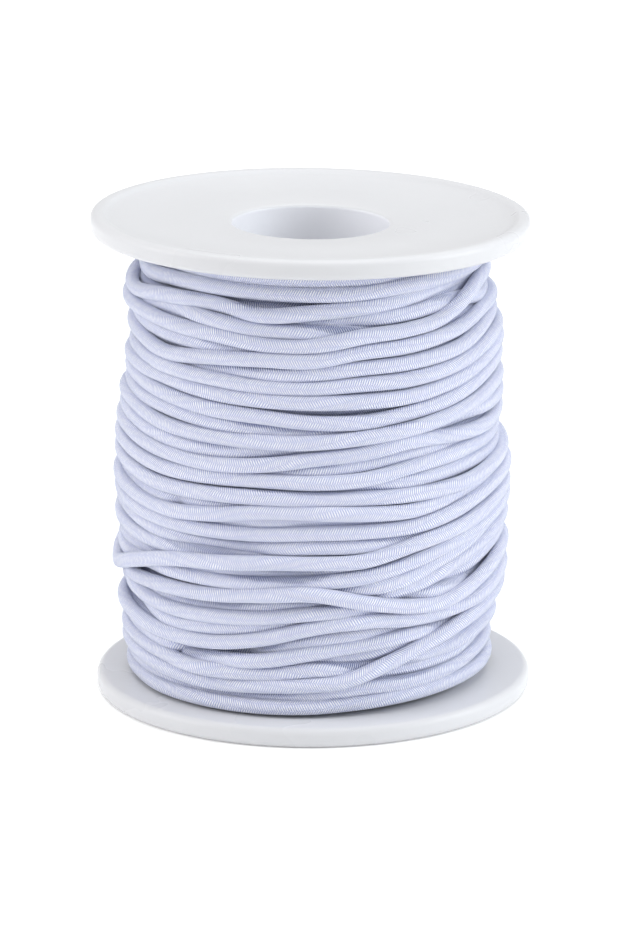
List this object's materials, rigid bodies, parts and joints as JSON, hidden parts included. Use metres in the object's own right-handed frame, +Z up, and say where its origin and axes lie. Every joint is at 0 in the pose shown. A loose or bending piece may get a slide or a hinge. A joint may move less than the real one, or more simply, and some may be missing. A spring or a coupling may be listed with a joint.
{
  "type": "roll of elastic cord",
  "caption": "Round braided elastic cord wound in uneven turns on a flanged moulded spool with an open spindle hole.",
  "frame": {"origin": "middle of the lower flange's underside, on the surface that the spool stands on", "axes": "+Z up along the spindle hole, -Y towards the pictured front, +X to the picture's right"},
  "size_m": [0.07, 0.07, 0.0786],
  "materials": {
    "white_plastic": "smooth moulded natural polypropylene, slightly translucent, soft sheen",
    "braided_cord": "fine slanted braid, soft cool white with a faint lavender cast"
  },
  "bodies": {
    "root": {"spool": "white_plastic", "winding": "braided_cord"}
  },
  "joints": []
}
